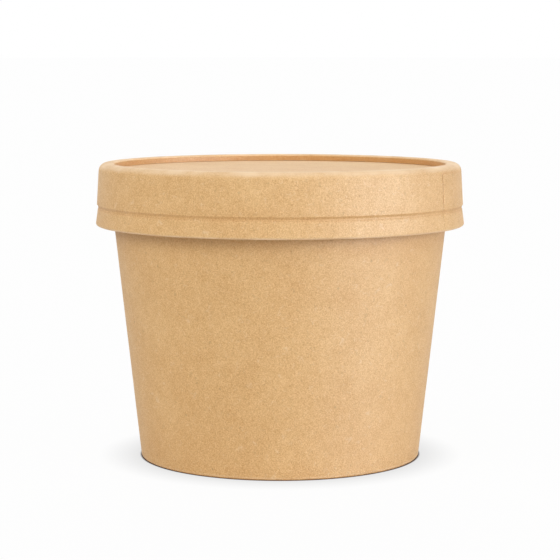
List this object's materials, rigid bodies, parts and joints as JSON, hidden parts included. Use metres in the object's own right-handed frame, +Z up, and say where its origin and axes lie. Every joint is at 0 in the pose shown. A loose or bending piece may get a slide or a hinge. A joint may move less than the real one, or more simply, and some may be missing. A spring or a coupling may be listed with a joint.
{
  "type": "paper ice cream tub",
  "caption": "Round tapered tub of brown kraft paperboard with a rolled rim, a raised base and a press-on lid with a recessed top that lifts off.",
  "frame": {"origin": "centre of the tub's foot, on the surface that it stands on", "axes": "+Z up along the tub's axis, -Y to the front, +X to the right"},
  "size_m": [0.1, 0.1, 0.0799],
  "materials": {
    "tub_board": "matt brown kraft board",
    "lid_board": "matt brown kraft board"
  },
  "bodies": {
    "tub": {"tub_wall": "tub_board", "tub_base": "tub_board"},
    "lid": {"lid_ring": "lid_board", "lid_disc": "lid_board"}
  },
  "joints": [
    {"name": "lid_lift", "type": "slide", "parent": "tub", "child": "lid", "axis": [0, 0, 1], "range_m": [0, 0.04]}
  ]
}
